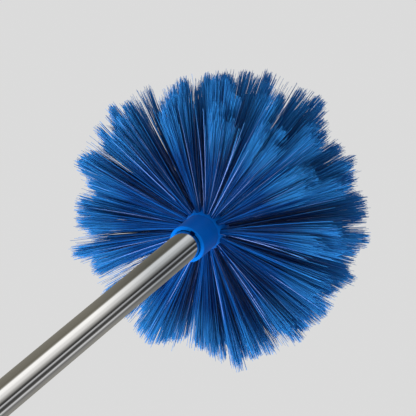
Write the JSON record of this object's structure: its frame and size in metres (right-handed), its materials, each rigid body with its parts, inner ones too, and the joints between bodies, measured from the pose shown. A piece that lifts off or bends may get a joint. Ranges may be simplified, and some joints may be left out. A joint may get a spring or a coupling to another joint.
{
  "type": "cobweb brush",
  "caption": "Round ball of stiff tufted bristles on a telescopic steel pole, with a twist lock, a ribbed hand grip and a swivelling hanging loop.",
  "frame": {"origin": "middle of the hand grip, on the axis of the pole", "axes": "+Z along the pole from the grip towards the brush head, +Y along the hole of the hanging loop at rest"},
  "size_m": [0.2169, 0.2163, 1.2291],
  "materials": {
    "blue_filament": "glossy extruded filament with split, paler tips",
    "blue_moulding": "smooth injection moulding, softly glossy",
    "stainless_tube": "bright drawn stainless steel, polished along its length",
    "steel_wire": "drawn wire",
    "white_nylon": "unfilled nylon, slightly waxy",
    "dark_plastic": "moulded, satin",
    "black_rubber": "matt moulded rubber"
  },
  "bodies": {
    "lower_pole": {"lower_tube": "stainless_tube", "lock_body": "blue_moulding", "lock_pins": "steel_wire", "clamp_ring": "white_nylon", "grip_sleeve": "black_rubber", "end_cap": "blue_moulding"},
    "nut": {"lock_nut": "blue_moulding"},
    "upper_pole": {"upper_tube": "stainless_tube", "pole_tip": "dark_plastic", "slide_bush": "white_nylon", "tube_pins": "steel_wire"},
    "head": {"brush_block": "blue_moulding", "tuft_row_1": "blue_filament", "tuft_row_2": "blue_filament", "tuft_row_3": "blue_filament", "tuft_row_4": "blue_filament", "tuft_row_5": "blue_filament", "tuft_staples": "steel_wire"},
    "loop": {"hang_loop": "blue_moulding"}
  },
  "joints": [
    {"name": "pole_extend", "type": "slide", "parent": "lower_pole", "child": "upper_pole", "axis": [0, 0, 1], "range_m": [-0.44, 0.029]},
    {"name": "head_lift_off", "type": "slide", "parent": "upper_pole", "child": "head", "axis": [0, 0, 1], "range_m": [0, 0.06]},
    {"name": "nut_turn", "type": "hinge", "parent": "lower_pole", "child": "nut", "pos_m": [0, 0, 0.5], "axis": [0, 0, 1], "range_deg": [0, 180]},
    {"name": "loop_swivel", "type": "hinge", "parent": "lower_pole", "child": "loop", "pos_m": [0, 0, -0.07], "axis": [0, 0, 1], "continuous": true}
  ]
}
